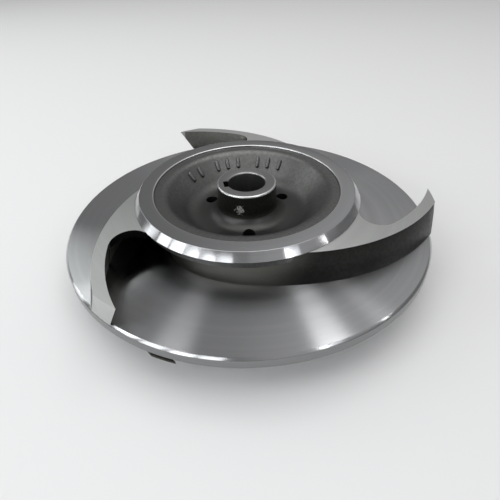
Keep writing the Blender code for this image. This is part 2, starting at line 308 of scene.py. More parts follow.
def turned(name, profile):
    """Turns a closed profile of (radius, height) points about the Z axis."""
    count = len(profile)
    points = [(x * math.cos(a), x * math.sin(a), z)
              for a in (2 * math.pi * i / TURN_STEPS for i in range(TURN_STEPS))
              for x, z in profile]
    faces = [(i * count + j, ((i + 1) % TURN_STEPS) * count + j,
              ((i + 1) % TURN_STEPS) * count + (j + 1) % count, i * count + (j + 1) % count)
             for i in range(TURN_STEPS) for j in range(count)]
    return closed_piece(name, points, faces)


def smooth(piece, sharp_from):
    """Shades a piece smoothly, except over edges that turn by more than sharp_from degrees."""
    piece.data.shade_smooth()
    piece.data.set_sharp_from_angle(angle=math.radians(sharp_from))


print("faces round a turned piece:", TURN_STEPS)

# %% [markdown]
# ### The disc
# The front shroud's face is one flat cut out to the rim, and the rim's corners are chamfered, so
# they catch the light as two thin lines. The piece ends where the casting starts to bend down
# into the neck, because the neck is a piece of its own there.

# %% Turn the disc
RIM_CHAMFER = 0.0024
FINE_EDGE = 0.0003
turned_disc = turned("turned_disc", rounded([
    (BEND_RADIUS, FACE_Z), (OUTER_RADIUS - RIM_CHAMFER, FACE_Z, FINE_EDGE),
    (OUTER_RADIUS, FACE_Z - RIM_CHAMFER, FINE_EDGE),
    (OUTER_RADIUS, UNDER_Z + RIM_CHAMFER, FINE_EDGE),
    (OUTER_RADIUS - RIM_CHAMFER, UNDER_Z, FINE_EDGE), (BEND_RADIUS, UNDER_Z)]))
smooth(turned_disc, sharp_from=50.0)
print("disc faces:", len(turned_disc.data.polygons))

# %% [markdown]
# ### The neck
# Water comes in through the neck, which the photograph hides under the disc. Inside and outside
# it bends by a quarter of an ellipse, the usual shape of a suction eye. Two ellipses and a few
# rounded corners make one closed profile, which is simpler than bending a tube.

# %% Turn the neck
UNDERSIDE_BEND_RADIUS = 0.118
NECK_SHOULDER_RADIUS = 0.0925
NECK_SHOULDER_Z = 0.0175
NECK_LAND_RADIUS = 0.0905
NECK_CHAMFER = 0.001
BEND_STEPS = 24
inside = ellipse_points((BEND_RADIUS, BEND_FOOT_Z), BEND_RADIUS - EYE_RADIUS,
                        FACE_Z - BEND_FOOT_Z, math.pi, math.pi / 2, BEND_STEPS)
outside = ellipse_points((UNDERSIDE_BEND_RADIUS, NECK_SHOULDER_Z),
                         UNDERSIDE_BEND_RADIUS - NECK_SHOULDER_RADIUS,
                         UNDER_Z - NECK_SHOULDER_Z, math.pi / 2, math.pi, BEND_STEPS // 2)
foot = rounded([outside[-1], (NECK_LAND_RADIUS, NECK_SHOULDER_Z),
                (NECK_LAND_RADIUS, NECK_CHAMFER, FINE_EDGE),
                (NECK_LAND_RADIUS - NECK_CHAMFER, 0.0, FINE_EDGE),
                (EYE_RADIUS + NECK_CHAMFER, 0.0, FINE_EDGE), (EYE_RADIUS, NECK_CHAMFER)])
suction_neck_casting = turned("suction_neck_casting",
                              inside + [(BEND_RADIUS, UNDER_Z)] + outside[:-1] + foot[:-1])
smooth(suction_neck_casting, sharp_from=40.0)
print("neck faces:", len(suction_neck_casting.data.polygons))

# %% [markdown]
# ### The two wear rings
# The bright ring round the bowl runs close to the pump's back cover, and a second one sits on
# the neck. In the photograph the chamfer of the upper ring mirrors the windows as bars with
# ragged ends. The tool chattered there and left very faint flats. Pulling the points a little
# towards a polygon of 48 sides gives those flats, which a bump map would only hint at.

# %% Turn the ring round the bowl
RING_TOP_Z = FACE_Z + 0.0403
RING_BORE_RADIUS = 0.1005
RING_FACE_RADIUS = 0.1161
RING_FOOT_RADIUS = 0.1223
RING_EDGE = 0.0006
RING_INNER_EDGE = 0.0013
CHATTER_FLATS = 48
CHATTER_SHARE = 0.6
back_ring = turned("back_ring", rounded([
    (RING_BORE_RADIUS, RING_TOP_Z, RING_INNER_EDGE),
    (RING_FACE_RADIUS, RING_TOP_Z, RING_EDGE),
    (RING_FOOT_RADIUS, ARM_TOP_Z + FINE_EDGE),
    (RING_FOOT_RADIUS - RING_EDGE, ARM_TOP_Z - RING_EDGE),
    (RING_BORE_RADIUS, ARM_TOP_Z - RING_EDGE)]))
pitch = 2 * math.pi / CHATTER_FLATS
for vertex in back_ring.data.vertices:
    if math.hypot(vertex.co.x, vertex.co.y) > RING_FACE_RADIUS - 2 * RING_EDGE:
        off_middle = math.atan2(vertex.co.y, vertex.co.x) % pitch - pitch / 2
        flat = math.cos(pitch / 2) / math.cos(off_middle)
        vertex.co.xy *= 1 - CHATTER_SHARE * (1 - flat)
smooth(back_ring, sharp_from=50.0)
print("upper ring faces:", len(back_ring.data.polygons))

# %% Turn the ring on the neck
FRONT_RING_RADIUS = 0.0985
FRONT_RING_FOOT_Z = 0.0015
front_ring = turned("front_ring", rounded([
    (NECK_LAND_RADIUS, NECK_SHOULDER_Z), (FRONT_RING_RADIUS, NECK_SHOULDER_Z, RING_EDGE),
    (FRONT_RING_RADIUS, FRONT_RING_FOOT_Z, RING_EDGE), (NECK_LAND_RADIUS, FRONT_RING_FOOT_Z)]))
smooth(front_ring, sharp_from=50.0)
print("neck ring faces:", len(front_ring.data.polygons))

# %% [markdown]
# ### The bowl and the hub
# The back shroud is dished like a bowl, and the hub rises from its middle with a wide fillet.
# They are one casting, so one profile draws both, and the fillets run on without a seam. Built
# as two pieces they would need a weld line that the real one doesn't have.

# %% Turn the bowl with its hub
BOWL_LIP_Z = FACE_Z + 0.0385
BOWL_FLOOR_Z = FACE_Z + 0.009
BOWL_LIP_RADIUS = 0.089
BOWL_WALL_FOOT_RADIUS = 0.0624
BOWL_FILLET = 0.024
BOWL_LIP_ROUNDING = 0.012
HUB_TOP_Z = FACE_Z + 0.0445
HUB_CHAMFER = 0.0012
HUB_EDGE = 0.0018
HUB_FILLET = 0.015
HUB_NOSE_Z = 0.020
NOSE_CHAMFER = 0.004
NOSE_COLLAR_Z = 0.026
SEAT_RADIUS = RING_BORE_RADIUS - FINE_EDGE
SEAT_Z = ARM_TOP_Z - FINE_EDGE
UNDERSIDE_CORNERS = ((0.088, WEB_UNDER_Z, 0.014), (0.066, 0.050, 0.014), (0.048, 0.043, 0.012),
                     (0.0385, NOSE_COLLAR_Z, 0.001))
bowl_and_hub = turned("bowl_and_hub", rounded([
    (BORE_RADIUS, HUB_TOP_Z - HUB_CHAMFER, FINE_EDGE),
    (BORE_RADIUS + HUB_CHAMFER, HUB_TOP_Z, FINE_EDGE),
    (HUB_RADIUS, HUB_TOP_Z, HUB_EDGE), (HUB_RADIUS, BOWL_FLOOR_Z, HUB_FILLET),
    (BOWL_WALL_FOOT_RADIUS, BOWL_FLOOR_Z, BOWL_FILLET),
    (BOWL_LIP_RADIUS, BOWL_LIP_Z, BOWL_LIP_ROUNDING), (SEAT_RADIUS, BOWL_LIP_Z),
    (SEAT_RADIUS, SEAT_Z), (PLATE_RADIUS, SEAT_Z), (PLATE_RADIUS, WEB_UNDER_Z),
    *UNDERSIDE_CORNERS, (HUB_RADIUS, NOSE_COLLAR_Z),
    (HUB_RADIUS, HUB_NOSE_Z + NOSE_CHAMFER, FINE_EDGE),
    (HUB_RADIUS - NOSE_CHAMFER, HUB_NOSE_Z, FINE_EDGE),
    (BORE_RADIUS + HUB_CHAMFER, HUB_NOSE_Z, FINE_EDGE),
    (BORE_RADIUS, HUB_NOSE_Z + HUB_CHAMFER, FINE_EDGE)]))
print("bowl and hub faces:", len(bowl_and_hub.data.polygons))

# %% [markdown]
# ### Balance holes and keyway
# Three holes drilled through the bowl's floor let water through, so that it presses alike on
# both sides of the plate. A slot beside the bore takes the key that drives the hub. Each is cut
# by a Boolean modifier with a closed tool, as a drill and a broach would do it. The modifier is
# applied at once, so that the piece ends as one plain mesh.


# %% Helpers for cutting
def combine(piece, tool, operation):
    """Cuts with, joins or keeps what is inside another closed shape, which is used up."""
    modifier = piece.modifiers.new(operation.title(), "BOOLEAN")
    modifier.operation = operation
    modifier.solver = "EXACT"
    modifier.object = tool
    graph = bpy.context.evaluated_depsgraph_get()
    finished = bpy.data.meshes.new_from_object(piece.evaluated_get(graph))
    piece.modifiers.clear()
    piece.data = finished
    bpy.data.objects.remove(tool, do_unlink=True)


def prism(name, lower, upper, lower_z, upper_z):
    """A closed solid between two outlines with the same number of points."""
    count = len(lower)
    points = [(x, y, lower_z) for x, y in lower] + [(x, y, upper_z) for x, y in upper]
    faces = [tuple(range(count)), tuple(range(count, 2 * count))]
    faces += [(i, (i + 1) % count, count + (i + 1) % count, count + i) for i in range(count)]
    return closed_piece(name, points, faces)


def polar(centre, radius, angle):
    return (centre[0] + radius * math.cos(angle), centre[1] + radius * math.sin(angle))


print("cutting helpers ready")

# %% Cut the balance holes and the keyway
HOLE_RADIUS = 0.0068
HOLE_CIRCLE_RADIUS = 0.0475
FIRST_HOLE_ANGLE = math.radians(31.0)
HOLE_STEPS = 48
KEYWAY_WIDTH = 0.012
KEYWAY_DEPTH = 0.005
KEYWAY_ANGLE = math.radians(190.0)
for i in range(ARM_COUNT):
    middle = polar((0.0, 0.0), HOLE_CIRCLE_RADIUS, FIRST_HOLE_ANGLE + 2 * math.pi * i / ARM_COUNT)
    ring = arc_points(middle, HOLE_RADIUS, 0.0, 2 * math.pi, 2 * math.pi / HOLE_STEPS)[:-1]
    combine(bowl_and_hub, prism("hole_drill", ring, ring, NOSE_COLLAR_Z, HUB_TOP_Z), "DIFFERENCE")
slot_end, half_slot = BORE_RADIUS + KEYWAY_DEPTH, KEYWAY_WIDTH / 2
slot = [Matrix.Rotation(KEYWAY_ANGLE, 2) @ Vector(point)
        for point in ((0.0, -half_slot), (slot_end, -half_slot), (slot_end, half_slot),
                      (0.0, half_slot))]
combine(bowl_and_hub, prism("keyway_broach", slot, slot, 0.0, 2 * HUB_TOP_Z), "DIFFERENCE")
smooth(bowl_and_hub, sharp_from=40.0)
print("bowl and hub faces after cutting:", len(bowl_and_hub.data.polygons))

# %% [markdown]
# ### Raised bars
# A row of small raised bars stands on the bowl's wall, cast with it. They are plain and mean
# nothing. Each is a short stack of outlines with round ends, narrower at the top, and it sinks a
# little into the wall so that no gap shows under it. All the bars are one mesh, as one casting.

# %% Helper for a raised bar
MARK_RADIUS = 0.0792
MARK_HALF_LENGTH = 0.0048
MARK_LEVELS = ((-0.0008, 0.0024), (0.0017, 0.0021), (0.0026, 0.0016), (0.0030, 0.0008))


def raised_mark(angle):
    """Points and faces of one bar that lies on the bowl's wall and points at the bore."""
    outward = Vector((math.cos(angle), math.sin(angle), 0.0))
    rise = (BOWL_LIP_Z - BOWL_FLOOR_Z) / (BOWL_LIP_RADIUS - BOWL_WALL_FOOT_RADIUS)
    along = (outward + Vector((0.0, 0.0, rise))).normalized()
    across = Vector((-math.sin(angle), math.cos(angle), 0.0))
    out_of_wall = across.cross(along)
    if out_of_wall.z < 0:
        out_of_wall.negate()
    middle = outward * MARK_RADIUS
    middle.z = BOWL_FLOOR_Z + (MARK_RADIUS - BOWL_WALL_FOOT_RADIUS) * rise
    points = []
    for level, half_width in MARK_LEVELS:
        outline = arc_points((MARK_HALF_LENGTH, 0.0), half_width, -math.pi / 2, math.pi / 2,
                             EDGE_STEP)
        outline += arc_points((-MARK_HALF_LENGTH, 0.0), half_width, math.pi / 2, 1.5 * math.pi,
                              EDGE_STEP)
        points += [middle + along * x + across * y + out_of_wall * level for x, y in outline]
    count, steps = len(outline), len(MARK_LEVELS) - 1
    faces = [tuple(range(count)), tuple(range(steps * count, len(points)))]
    faces += [(k * count + i, k * count + (i + 1) % count, (k + 1) * count + (i + 1) % count,
               (k + 1) * count + i) for k in range(steps) for i in range(count)]
    return points, faces


print("outlines in a bar:", len(MARK_LEVELS))

# %% Build the raised bars
MARK_ANGLES = (145.3, 134.6, 116.7, 107.1, 97.2, 79.6, 70.1, 59.3)
mark_points, mark_faces = [], []
for degrees in MARK_ANGLES:
    points, faces = raised_mark(math.radians(degrees))
    mark_faces += [tuple(len(mark_points) + i for i in face) for face in faces]
    mark_points += points
raised_marks = closed_piece("raised_marks", mark_points, mark_faces)
smooth(raised_marks, sharp_from=40.0)
print("raised bars:", len(MARK_ANGLES))

# %% [markdown]
# ## The arms
# Each vane is a leaning wall whose plan is two arcs that meet smoothly: a wide one outside and
# a tighter one that winds in to the eye. One arm is drawn once, from the outline of its outer
# side, and turned into its three places. The steps between them aren't quite equal, as the
# photograph reads.

# %% Draw a wall in plan
OUTER_ARC_RADIUS = 0.1925
OUTER_ARC_OFFSET = 0.087
OUTER_ARC_BEARING = math.radians(60.0)
OUTER_ARC_END = math.radians(340.0)
ARC_JOIN = math.radians(244.4)
INNER_ARC_RADIUS = 0.080
INNER_ARC_END = math.radians(100.0)
WALL_THICKNESS = 0.012
LEAN_PER_METRE = 0.0078 / 0.032
WALL_STEP = math.radians(1.5)
outer_arc_centre = polar((0.0, 0.0), OUTER_ARC_OFFSET, OUTER_ARC_BEARING)
inner_arc_centre = polar(outer_arc_centre, OUTER_ARC_RADIUS - INNER_ARC_RADIUS, ARC_JOIN)


def wall_edge(inset):
    """One edge of a wall, from past the tip to past the leading edge."""
    outer = arc_points(outer_arc_centre, OUTER_ARC_RADIUS - inset, OUTER_ARC_END, ARC_JOIN,
                       WALL_STEP)
    inner = arc_points(inner_arc_centre, INNER_ARC_RADIUS - inset, ARC_JOIN, INNER_ARC_END,
                       2 * WALL_STEP)
    return outer + inner[1:]


def wall_outline(height, thickness=WALL_THICKNESS):
    """Both edges of a wall at a height over the disc's face, moved in by its lean there."""
    lean = LEAN_PER_METRE * height
    return wall_edge(lean) + wall_edge(lean + thickness)[::-1]


print("points in a wall's edge:", len(wall_edge(0.0)))

# %% [markdown]
# ### The web and its pocket
# Beside the ring a flat web fills the corner between an arm and the plate. A round pocket is
# cut out of it, which leaves the dark hollow that the photograph shows at the left. The web is
# drawn as one outline from three stretches: along the ring, round the pocket, along the wall.

# %% Draw the web in plan
POCKET_RADIUS = 0.019
POCKET_ANGLE = math.radians(-54.7)
POCKET_START_ANGLE = math.radians(-188.0)
WEB_RING_START = math.radians(-62.0)
WEB_RING_END = math.radians(-23.5)
WEB_OVERLAP = 0.003
wall_inset = LEAN_PER_METRE * (ARM_TOP_Z - FACE_Z) + WALL_THICKNESS
pocket_centre = polar(outer_arc_centre, OUTER_ARC_RADIUS - wall_inset - POCKET_RADIUS, POCKET_ANGLE)


def web_outline():
    """The plate between an arm and the ring, which reaches a little into both."""
    inner_edge = PLATE_RADIUS - WEB_OVERLAP
    along_wall = [point for point in wall_edge(wall_inset - WALL_THICKNESS / 3)
                  if math.hypot(*point) > inner_edge
                  and math.atan2(point[1] - outer_arc_centre[1],
                                 point[0] - outer_arc_centre[0]) < POCKET_ANGLE]
    pocket = arc_points(pocket_centre, POCKET_RADIUS, POCKET_START_ANGLE, POCKET_ANGLE)
    ring_side = arc_points((0.0, 0.0), inner_edge, WEB_RING_START, WEB_RING_END, WALL_STEP)
    return ring_side + pocket + along_wall


print("points in the web's outline:", len(web_outline()))

# %% [markdown]
# ### Trimming the arms
# The arms are trimmed on the lathe with the disc, so their tops lie on a shallow cone and
# their tips end at the rim. The wall and the web are made too long and too high, joined, and
# then only what lies inside a turned space is kept. That is quicker than working out where each
# edge meets the cone, and it gives the same crisp corners as the real cut.

# %% Draw the space that the arms are trimmed to
LEADING_EDGE_HEAD_RADIUS = 0.060
LEADING_EDGE_FOOT_ANGLE = math.radians(168.0)
SINK = 0.0004
FLOOR_STEPS = 16


def waterway_profile():
    """The space from the eye to the rim, which sinks a hair into the pieces round it."""
    floor_bend = ellipse_points((BEND_RADIUS, BEND_FOOT_Z), BEND_RADIUS - EYE_RADIUS + SINK,
                                FACE_Z - BEND_FOOT_Z - SINK, LEADING_EDGE_FOOT_ANGLE,
                                math.pi / 2, FLOOR_STEPS)
    under = rounded([(PLATE_RADIUS, WEB_UNDER_Z), *UNDERSIDE_CORNERS,
                     (HUB_RADIUS, NOSE_COLLAR_Z)])[1:]
    under = [(x, z + SINK) for x, z in under if x > LEADING_EDGE_HEAD_RADIUS]
    top = [(PLATE_RADIUS - SINK, WEB_UNDER_Z + SINK), (PLATE_RADIUS - SINK, ARM_TOP_Z),
           (OUTER_RADIUS, ARM_TIP_Z), (OUTER_RADIUS, FACE_Z - SINK)]
    return under[::-1] + top + floor_bend[::-1]


print("points in the waterway's profile:", len(waterway_profile()))

# %% Helper for breaking edges
MERGE_DISTANCE = 0.00002
FLAT_WITHIN = math.radians(0.2)
SHARP_EDGE = math.radians(35.0)


def break_edges(piece, width):
    """Cleans up after the Boolean modifiers and rounds every sharp edge a little."""
    shape = bmesh.new()
    shape.from_mesh(piece.data)
    bmesh.ops.remove_doubles(shape, verts=shape.verts, dist=MERGE_DISTANCE)
    bmesh.ops.dissolve_limit(shape, angle_limit=FLAT_WITHIN, verts=shape.verts, edges=shape.edges)
    sharp = [edge for edge in shape.edges
             if len(edge.link_faces) == 2 and edge.calc_face_angle() > SHARP_EDGE]
    bmesh.ops.bevel(shape, geom=sharp, offset=width, segments=2, profile=0.5,
                    affect="EDGES", clamp_overlap=True)
    shape.to_mesh(piece.data)
    shape.free()


print("edges sharper than", round(math.degrees(SHARP_EDGE)), "degrees get broken")

# %% Build the arms
ARM_SHIFTS = (math.radians(-0.5), math.radians(-2.5), math.radians(-2.5))
ARM_TURNS = [2 * math.pi * i / ARM_COUNT + shift for i, shift in enumerate(ARM_SHIFTS)]
ARM_EDGE = 0.0006
OVERRUN = 0.005
LIES_FLAT = 0.9
arms = []
for i, arm_turn in enumerate(ARM_TURNS):
    low_z, high_z = BEND_FOOT_Z - OVERRUN, ARM_TOP_Z + OVERRUN
    arm = prism(f"arm_{i + 1}", wall_outline(low_z - FACE_Z), wall_outline(high_z - FACE_Z),
                low_z, high_z)
    combine(arm, prism("web", web_outline(), web_outline(), WEB_UNDER_Z, high_z - OVERRUN / 2),
            "UNION")
    combine(arm, turned("waterway", waterway_profile()), "INTERSECT")
    break_edges(arm, ARM_EDGE)
    arm.data.transform(Matrix.Rotation(arm_turn, 4, "Z"))
    smooth(arm, sharp_from=35.0)
    for face in arm.data.polygons:
        face.use_smooth = abs(face.normal.z) < LIES_FLAT
    arms.append(arm)
print("arms stand at:", [round(math.degrees(turn), 1) for turn in ARM_TURNS],
      "and have faces:", [len(arm.data.polygons) for arm in arms])

# %% [markdown]
# ### The ribs under the disc
# One dark block shows under the rim. It is taken for the end of a low rib, which keeps the pulp
# moving under the disc. Such ribs follow the same sweep as the arms, so the wall's outline
# serves again. Each rib is cut to a turned space that tapers at the rim.

# %% Build the ribs
RIB_HEIGHT = 0.0078
RIB_THICKNESS = 0.010
RIB_TURN = math.radians(-102.5)
RIB_INNER_RADIUS = 0.125
RIB_TAPER = 0.011
foot_z, top_z = UNDER_Z - RIB_HEIGHT, UNDER_Z + SINK
ribs = []
for i in range(ARM_COUNT):
    plan = wall_outline(0.0, RIB_THICKNESS)
    rib = prism(f"under_rib_{i + 1}", plan, plan, foot_z - OVERRUN, UNDER_Z + OVERRUN)
    limit = turned("rib_limit", [(RIB_INNER_RADIUS, top_z), (OUTER_RADIUS, top_z),
                                 (OUTER_RADIUS, UNDER_Z - RIB_HEIGHT / 3),
                                 (OUTER_RADIUS - RIB_TAPER, foot_z), (RIB_INNER_RADIUS, foot_z)])
    combine(rib, limit, "INTERSECT")
    break_edges(rib, 2 * ARM_EDGE)
    rib.data.transform(Matrix.Rotation(RIB_TURN + 2 * math.pi * i / ARM_COUNT, 4, "Z"))
    smooth(rib, sharp_from=35.0)
    ribs.append(rib)
print("rib faces:", [len(rib.data.polygons) for rib in ribs])

# %% [markdown]
# ## Finishes
# Two kinds of surface cover the impeller: steel that a lathe has cut, with its circular tool
# marks, and the rough dark skin that the mould leaves. Every finish is one of the two with
# other values. Each effect is a node group with named inputs and outputs, built once. A painted
# texture would show the same marks, but nodes keep them sharp at any distance.


# %% Helpers for node groups
def new_group(name, inputs, outputs):
    """An empty shader node group with float inputs and outputs."""
    group = bpy.data.node_groups.new(name, "ShaderNodeTree")
    for label, value in inputs.items():
        socket = group.interface.new_socket(label, in_out="INPUT", socket_type="NodeSocketFloat")
        socket.default_value = value
    for label in outputs:
        group.interface.new_socket(label, in_out="OUTPUT", socket_type="NodeSocketFloat")
    return group, group.nodes.new("NodeGroupInput"), group.nodes.new("NodeGroupOutput")


def noise(tree, vector, scale, detail=3.0, roughness=0.5):
    return add_node(tree, "ShaderNodeTexNoise", Vector=vector, Scale=scale, Detail=detail,
                    Roughness=roughness).outputs["Fac"]


def from_the_axis(tree, place):
    """How far each point of the surface is from the bore's axis."""
    split = add_node(tree, "ShaderNodeSeparateXYZ", Vector=place)
    return maths(tree, "SQRT", maths(tree, "ADD", maths(tree, "POWER", split.outputs["X"], 2.0),
                                     maths(tree, "POWER", split.outputs["Y"], 2.0)))


print("group helpers ready")

# %% [markdown]
# ### Circular tool marks
# A lathe tool leaves a fine groove that runs round and round the axis. Noise that depends only
# on the distance from the axis gives rings of uneven depth. The distance wanders a little, since
# no cut is perfect. A broader noise of the same kind makes bands of slightly different grey.

# %% Group: circular tool marks
WANDER_SCALE = 14.0
BAND_WIDTH = 0.06
BAND_SHARE = 0.6
marks, marks_in, marks_out = new_group(
    "circular_tool_marks", {"Marks Per Metre": 900.0, "Wander": 0.0004}, ("Height", "Shade"))
place = add_node(marks, "ShaderNodeTexCoord").outputs["Object"]
wander = maths(marks, "MULTIPLY", noise(marks, place, WANDER_SCALE, 1.0),
               marks_in.outputs["Wander"])
track = maths(marks, "MULTIPLY", maths(marks, "ADD", from_the_axis(marks, place), wander),
              marks_in.outputs["Marks Per Metre"])
fine = add_node(marks, "ShaderNodeTexNoise", {"noise_dimensions": "1D"}, W=track, Scale=1.0,
                Detail=3.0, Roughness=0.7).outputs["Fac"]
bands = add_node(marks, "ShaderNodeTexNoise", {"noise_dimensions": "1D"},
                 W=maths(marks, "MULTIPLY", track, BAND_WIDTH), Scale=1.0,
                 Detail=3.0).outputs["Fac"]
marks.links.new(fine, marks_out.inputs["Height"])
marks.links.new(maths(marks, "ADD", maths(marks, "MULTIPLY", fine, 1.0 - BAND_SHARE),
                      maths(marks, "MULTIPLY", bands, BAND_SHARE)), marks_out.inputs["Shade"])
print("group built:", marks.name)

# %% [markdown]
# ### Cast skin
# The mould's sand leaves grains of about a millimetre and shallow pits a few times as wide. Both
# go into the height. A separate mottle and larger stains only change the colour.

# %% Group: cast skin
PIT_SCALE = 0.2
MOTTLE_SCALE = 300.0
STAIN_SCALE = 30.0
skin, skin_in, skin_out = new_group("cast_skin", {"Grain Scale": 900.0},
                                    ("Height", "Mottle", "Stain"))
place = add_node(skin, "ShaderNodeTexCoord").outputs["Object"]
grain = noise(skin, place, skin_in.outputs["Grain Scale"], 3.0, 0.6)
pits = noise(skin, place, maths(skin, "MULTIPLY", skin_in.outputs["Grain Scale"], PIT_SCALE), 2.0)
skin.links.new(maths(skin, "ADD", maths(skin, "MULTIPLY", grain, 0.5), pits),
               skin_out.inputs["Height"])
skin.links.new(noise(skin, place, MOTTLE_SCALE, 5.0, 0.6), skin_out.inputs["Mottle"])
skin.links.new(ramp(skin, noise(skin, place, STAIN_SCALE, 4.0), 0.45, 0.8),
               skin_out.inputs["Stain"])
print("group built:", skin.name)

# %% [markdown]
# ### Materials
# Each material is one metal shader. What is the same all over the surface is set straight on it.
# Nodes feed only what changes from place to place: colour, roughness and bump.


# %% Helpers for materials
def new_material(name, metallic, roughness, anisotropy=0.0):
    """A metal with its plain values set straight on the shader."""
    material = bpy.data.materials.new(name)
    material.use_nodes = True
    shader = material.node_tree.nodes["Principled BSDF"]
    shader.inputs["Metallic"].default_value = metallic
    shader.inputs["Roughness"].default_value = roughness
    shader.inputs["Anisotropic"].default_value = anisotropy
    return material, material.node_tree, shader


def place_group(tree, group, **values):
    node = tree.nodes.new("ShaderNodeGroup")
    node.node_tree = group
    for name, value in values.items():
        node.inputs[name.replace("_", " ")].default_value = value
    return node.outputs


def mix_colours(tree, factor, first, second):
    """Mixes two colours, each a socket or a plain (red, green, blue)."""
    first, second = (colour if isinstance(colour, bpy.types.NodeSocket) else (*colour, 1.0)
                     for colour in (first, second))
    node = add_node(tree, "ShaderNodeMix", {"data_type": "RGBA", "clamp_factor": True},
                    i0=factor, i6=first, i7=second)
    return node.outputs[2]


def bump(tree, shader, height, distance):
    node = add_node(tree, "ShaderNodeBump", Height=height, Distance=distance, Strength=1.0)
    tree.links.new(node.outputs["Normal"], shader.inputs["Normal"])


print("material helpers ready")

# %% [markdown]
# ### Turned steel
# What makes turned steel look turned is less the marks than how they stretch a reflection. The
# shader's anisotropy does that, and its tangent is pointed away from the bore, so every light
# becomes a spoke. The disc takes all of it, the ring and the arms about half, and the bore and
# the painted edge highlights none.

# %% Turned steel, for whatever the lathe has cut
SHADE_RANGE = (0.3, 0.7)
ROUGHER = 1.06
SMOOTHER = 0.94


def across_marks(tree, shader):
    """Points the shader's tangent away from the bore, across the circular marks."""
    place = add_node(tree, "ShaderNodeTexCoord").outputs["Object"]
    flat = add_node(tree, "ShaderNodeVectorMath", {"operation": "MULTIPLY"},
                    i0=place, i1=(1.0, 1.0, 0.0))
    tangent = add_node(tree, "ShaderNodeVectorMath", {"operation": "NORMALIZE"},
                       i0=flat.outputs[0])
    tree.links.new(tangent.outputs[0], shader.inputs["Tangent"])


def turned_finish(name, dark, light, roughness, anisotropy, marks_per_metre, depth):
    material, tree, shader = new_material(name, 1.0, roughness, anisotropy)
    effect = place_group(tree, marks, Marks_Per_Metre=marks_per_metre)
    colour = mix_colours(tree, ramp(tree, effect["Shade"], *SHADE_RANGE), dark, light)
    tree.links.new(colour, shader.inputs["Base Color"])
    tree.links.new(ramp(tree, effect["Shade"], *SHADE_RANGE, roughness * ROUGHER,
                        roughness * SMOOTHER), shader.inputs["Roughness"])
    bump(tree, shader, effect["Height"], depth)
    across_marks(tree, shader)
    return material


print("turned finish ready")

# %% Make the turned finishes
disc_steel = turned_finish("turned_disc_steel", (0.485, 0.490, 0.500), (0.517, 0.522, 0.532),
                           0.24, 1.0, 1700.0, 0.0000009)
arm_steel = turned_finish("cut_arm_steel", (0.53, 0.54, 0.53), (0.59, 0.60, 0.59),
                          0.44, 0.4, 900.0, 0.000005)
ring_steel = turned_finish("bright_ring_steel", (0.42, 0.424, 0.432), (0.47, 0.474, 0.482),
                           0.16, 0.5, 1600.0, 0.000002)
hub_end_steel = turned_finish("hub_end_steel", (0.29, 0.29, 0.288), (0.34, 0.34, 0.337),
                              0.34, 0.3, 1200.0, 0.000004)
rim_steel = turned_finish("turned_rim_steel", (0.22, 0.222, 0.225), (0.27, 0.272, 0.275),
                          0.34, 0.3, 1300.0, 0.000003)
# A pale steel laid on small rounded edges and corners as a painted highlight.
edge_highlight_steel = turned_finish("painted_edge_highlight_steel", (0.66, 0.665, 0.67), (0.80, 0.80, 0.80),
                           0.22, 0.0, 1500.0, 0.000002)
bore_steel = turned_finish("bored_hole_steel", (0.34, 0.34, 0.345), (0.42, 0.42, 0.425),
                           0.3, 0.0, 900.0, 0.000004)
print("turned finishes:", disc_steel.name, arm_steel.name, ring_steel.name, hub_end_steel.name,
      rim_steel.name, edge_highlight_steel.name, bore_steel.name)

# %% [markdown]
# ### Cast steel
# Cast skin is dark, because its pits hold scale and oil. Two finishes also carry painted light
# and shade: the bowl is painted darker near the hub, as shade in the hollow round its foot, and
# the walls are painted paler close under the ring, as light that reaches them there. So a cast
# finish can fade from one colour to another with the distance from the axis. The hub's side
# also carries a pale smudge, as of chalk.

# %% Cast steel, for whatever is left as the mould made it
STAIN_STRENGTH = 0.2
STAIN_DARKNESS = 0.6
CHALK = (0.75, 0.75, 0.72)
CHALK_EDGE = (0.0142, 0.0126)
CHALK_TEAR = 0.02
CHALK_TEAR_SCALE = 420.0


def chalked(tree, place, colour, middle):
    """Adds a smudge of chalk round a point, with a torn edge."""
    away = add_node(tree, "ShaderNodeVectorMath", {"operation": "DISTANCE"},
                    i0=place, i1=middle).outputs["Value"]
    torn = maths(tree, "ADD", away, maths(tree, "MULTIPLY", noise(tree, place, CHALK_TEAR_SCALE),
                                          CHALK_TEAR))
    return mix_colours(tree, ramp(tree, torn, *CHALK_EDGE), colour, CHALK)


def cast_finish(name, dark, light, roughness, grain_scale, depth, fade=None, smudge=None):
    """Cast skin. fade is (inner colour, radius where it is full, radius where it has gone)."""
    material, tree, shader = new_material(name, 0.9, roughness)
    place = add_node(tree, "ShaderNodeTexCoord").outputs["Object"]
    effect = place_group(tree, skin, Grain_Scale=grain_scale)
    colour = mix_colours(tree, ramp(tree, effect["Mottle"], 0.35, 0.65), dark, light)
    colour = mix_colours(tree, maths(tree, "MULTIPLY", effect["Stain"], STAIN_STRENGTH), colour,
                         [STAIN_DARKNESS * part for part in dark])
    if fade:
        colour = mix_colours(tree, ramp(tree, from_the_axis(tree, place), *fade[1:]), fade[0],
                             colour)
    if smudge:
        colour = chalked(tree, place, colour, smudge)
    tree.links.new(colour, shader.inputs["Base Color"])
    tree.links.new(ramp(tree, effect["Mottle"], 0.3, 0.7, roughness * 1.15, roughness * 0.9),
                   shader.inputs["Roughness"])
    bump(tree, shader, effect["Height"], depth)
    return material


print("cast finish ready")
